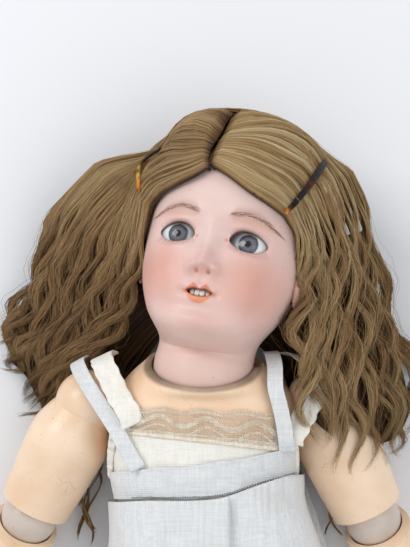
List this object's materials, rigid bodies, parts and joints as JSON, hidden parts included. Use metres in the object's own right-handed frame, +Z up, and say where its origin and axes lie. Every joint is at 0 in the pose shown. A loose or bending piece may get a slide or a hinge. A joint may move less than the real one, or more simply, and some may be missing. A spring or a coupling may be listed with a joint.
{
  "type": "porcelain head doll",
  "caption": "Child doll lying on its back: bisque head with a wig, strung ball-jointed body, lace-trimmed chemise and pinafore",
  "frame": {"origin": "middle of the flat on which the doll's back rests, under the waist", "axes": "+Z up out of the chest, +Y towards the crown, +X to the doll's own left"},
  "size_m": [0.3447, 0.6098, 0.1228],
  "materials": {
    "bisque": "unglazed tinted porcelain, fine matt surface",
    "composition": "wood-pulp composition, painted flesh colour and varnished",
    "hair": "brown hair, combed",
    "gauze": "stiffened net",
    "card": "pressed card",
    "glass": "blown opaque white glass with a grey-blue iris",
    "lead": "dull grey lead",
    "iron": "dark drawn wire",
    "wood": "turned beech, raw",
    "tooth": "white porcelain",
    "shell": "mottled dark brown, polished",
    "elastic": "fabric-covered round elastic",
    "cotton": "fine white cotton and its net lace",
    "linen": "pale blue-grey plain-weave linen"
  },
  "bodies": {
    "torso": {"torso": "composition", "chemise": "cotton", "chemise_lace": "cotton", "right_chemise_strap": "cotton", "left_chemise_strap": "cotton", "pinafore_band": "linen", "right_pinafore_strap": "linen", "left_pinafore_strap": "linen", "pinafore_skirt_right": "linen", "pinafore_skirt_left": "linen", "arm_elastic": "elastic", "leg_elastic": "elastic"},
    "neck": {"neck_button": "wood", "neck_hook": "iron", "neck_spring": "iron"},
    "head": {"bisque_head": "bisque", "pate": "card", "upper_teeth": "tooth", "wig_cap": "gauze", "hair_crown_right": "hair", "hair_crown_left": "hair", "right_barrette": "shell", "left_barrette": "shell", "hair_lock_left_1": "hair", "hair_lock_left_2": "hair", "hair_lock_left_3": "hair", "hair_lock_left_4": "hair", "hair_lock_right_1": "hair", "hair_lock_right_2": "hair", "hair_lock_right_3": "hair"},
    "eyes": {"left_eye": "glass", "right_eye": "glass", "eye_rocker": "lead"},
    "left_arm_hook": {"left_shoulder_hook": "iron"},
    "left_upper_arm": {"left_upper_arm": "composition", "left_upper_arm_elastic": "elastic"},
    "left_elbow": {"left_elbow_ball": "composition"},
    "left_forearm": {"left_forearm": "composition", "left_forearm_elastic": "elastic"},
    "left_hand": {"left_hand": "composition"},
    "left_leg_hook": {"left_hip_hook": "iron"},
    "left_thigh": {"left_thigh": "composition", "left_thigh_elastic": "elastic"},
    "left_knee": {"left_knee_ball": "composition"},
    "left_lower_leg": {"left_lower_leg": "composition"},
    "right_arm_hook": {"right_shoulder_hook": "iron"},
    "right_upper_arm": {"right_upper_arm": "composition", "right_upper_arm_elastic": "elastic"},
    "right_elbow": {"right_elbow_ball": "composition"},
    "right_forearm": {"right_forearm": "composition", "right_forearm_elastic": "elastic"},
    "right_hand": {"right_hand": "composition"},
    "right_leg_hook": {"right_hip_hook": "iron"},
    "right_thigh": {"right_thigh": "composition", "right_thigh_elastic": "elastic"},
    "right_knee": {"right_knee_ball": "composition"},
    "right_lower_leg": {"right_lower_leg": "composition"}
  },
  "joints": [
    {"name": "neck_nod", "type": "hinge", "parent": "torso", "child": "neck", "pos_m": [0, 0.1467, 0.064], "axis": [1, 0, 0], "range_deg": [-2, 12], "deforming": ["hair_lock_left_1", "hair_lock_left_2", "hair_lock_left_3", "hair_lock_left_4", "hair_lock_right_1", "hair_lock_right_2", "hair_lock_right_3", "leg_elastic"]},
    {"name": "head_turn", "type": "hinge", "parent": "neck", "child": "head", "pos_m": [0, 0.1467, 0.064], "axis": [0.2015, 0.9729, -0.1132], "range_deg": [-60, 40], "deforming": ["hair_lock_left_1", "hair_lock_left_2", "hair_lock_left_3", "hair_lock_left_4", "hair_lock_right_1", "hair_lock_right_2", "hair_lock_right_3"]},
    {"name": "eyes_close", "type": "hinge", "parent": "head", "child": "eyes", "pos_m": [0.00851, 0.22021, 0.08815], "axis": [0.9641, -0.1766, 0.1981], "range_deg": [0, 50]},
    {"name": "left_shoulder_swing", "type": "hinge", "parent": "torso", "child": "left_arm_hook", "pos_m": [0.0715, 0.127, 0.048], "axis": [1, 0, 0], "range_deg": [-15, 150], "deforming": ["hair_lock_left_1", "hair_lock_left_2", "hair_lock_left_3", "hair_lock_left_4", "hair_lock_right_1", "hair_lock_right_2", "hair_lock_right_3", "arm_elastic", "left_chemise_strap", "left_pinafore_strap"]},
    {"name": "left_shoulder_spread", "type": "hinge", "parent": "left_arm_hook", "child": "left_upper_arm", "pos_m": [0.0715, 0.127, 0.048], "axis": [0.1252, -0.2568, 0.9583], "range_deg": [-3, 42], "deforming": ["hair_lock_left_1", "hair_lock_left_2", "hair_lock_left_3", "hair_lock_left_4", "hair_lock_right_1", "hair_lock_right_2", "hair_lock_right_3", "arm_elastic", "left_chemise_strap", "left_pinafore_strap"]},
    {"name": "left_elbow_turn", "type": "hinge", "parent": "left_upper_arm", "child": "left_elbow", "pos_m": [0.10679, 0.05465, 0.024], "axis": [-0.4201, 0.8613, 0.2857], "range_deg": [-90, 90]},
    {"name": "left_elbow_bend", "type": "hinge", "parent": "left_elbow", "child": "left_forearm", "pos_m": [0.10679, 0.05465, 0.024], "axis": [-0.8988, -0.4384, 0], "range_deg": [-5, 50]},
    {"name": "left_wrist_bend", "type": "hinge", "parent": "left_forearm", "child": "left_hand", "pos_m": [0.13901, -0.01142, 0.0155], "axis": [0.8988, 0.4384, 0], "range_deg": [-25, 25]},
    {"name": "left_hip_swing", "type": "hinge", "parent": "torso", "child": "left_leg_hook", "pos_m": [0.035, -0.025, 0.045], "axis": [-1, 0, 0], "range_deg": [-2, 75], "deforming": ["pinafore_skirt_left", "pinafore_skirt_right", "leg_elastic"]},
    {"name": "left_hip_spread", "type": "hinge", "parent": "left_leg_hook", "child": "left_thigh", "pos_m": [0.035, -0.025, 0.045], "axis": [0.0115, -0.1318, 0.9912], "range_deg": [-3, 8], "deforming": ["pinafore_skirt_left", "pinafore_skirt_right", "leg_elastic"]},
    {"name": "left_knee_turn", "type": "hinge", "parent": "left_thigh", "child": "left_knee", "pos_m": [0.0464, -0.15534, 0.02754], "axis": [-0.0864, 0.9874, 0.1323], "range_deg": [-60, 60]},
    {"name": "left_knee_bend", "type": "hinge", "parent": "left_knee", "child": "left_lower_leg", "pos_m": [0.0464, -0.15534, 0.02754], "axis": [0.9962, 0.0872, 0], "range_deg": [-4, 60], "deforming": ["pinafore_skirt_left", "pinafore_skirt_right"]},
    {"name": "right_shoulder_swing", "type": "hinge", "parent": "torso", "child": "right_arm_hook", "pos_m": [-0.0715, 0.127, 0.048], "axis": [1, 0, 0], "range_deg": [-15, 150], "deforming": ["hair_lock_left_1", "hair_lock_left_2", "hair_lock_left_3", "hair_lock_left_4", "hair_lock_right_1", "hair_lock_right_2", "hair_lock_right_3", "arm_elastic", "right_chemise_strap", "right_pinafore_strap"]},
    {"name": "right_shoulder_spread", "type": "hinge", "parent": "right_arm_hook", "child": "right_upper_arm", "pos_m": [-0.0715, 0.127, 0.048], "axis": [0.1341, 0.2522, -0.9583], "range_deg": [-3, 42], "deforming": ["hair_lock_left_1", "hair_lock_left_2", "hair_lock_left_3", "hair_lock_left_4", "hair_lock_right_1", "hair_lock_right_2", "hair_lock_right_3", "arm_elastic", "right_chemise_strap", "right_pinafore_strap"]},
    {"name": "right_elbow_turn", "type": "hinge", "parent": "right_upper_arm", "child": "right_elbow", "pos_m": [-0.10929, 0.05592, 0.024], "axis": [0.4499, 0.8461, 0.2857], "range_deg": [-90, 90]},
    {"name": "right_elbow_bend", "type": "hinge", "parent": "right_elbow", "child": "right_forearm", "pos_m": [-0.10929, 0.05592, 0.024], "axis": [-0.8829, 0.4695, 0], "range_deg": [-5, 50]},
    {"name": "right_wrist_bend", "type": "hinge", "parent": "right_forearm", "child": "right_hand", "pos_m": [-0.1438, -0.00898, 0.0155], "axis": [0.8829, -0.4695, 0], "range_deg": [-25, 25]},
    {"name": "right_hip_swing", "type": "hinge", "parent": "torso", "child": "right_leg_hook", "pos_m": [-0.035, -0.025, 0.045], "axis": [-1, 0, 0], "range_deg": [-2, 75], "deforming": ["pinafore_skirt_left", "pinafore_skirt_right", "leg_elastic"]},
    {"name": "right_hip_spread", "type": "hinge", "parent": "right_leg_hook", "child": "right_thigh", "pos_m": [-0.035, -0.025, 0.045], "axis": [0.0115, 0.1318, -0.9912], "range_deg": [-3, 8], "deforming": ["pinafore_skirt_left", "pinafore_skirt_right", "leg_elastic"]},
    {"name": "right_knee_turn", "type": "hinge", "parent": "right_thigh", "child": "right_knee", "pos_m": [-0.0464, -0.15534, 0.02754], "axis": [0.0864, 0.9874, 0.1323], "range_deg": [-60, 60]},
    {"name": "right_knee_bend", "type": "hinge", "parent": "right_knee", "child": "right_lower_leg", "pos_m": [-0.0464, -0.15534, 0.02754], "axis": [0.9962, -0.0872, 0], "range_deg": [-4, 60], "deforming": ["pinafore_skirt_left", "pinafore_skirt_right"]}
  ]
}
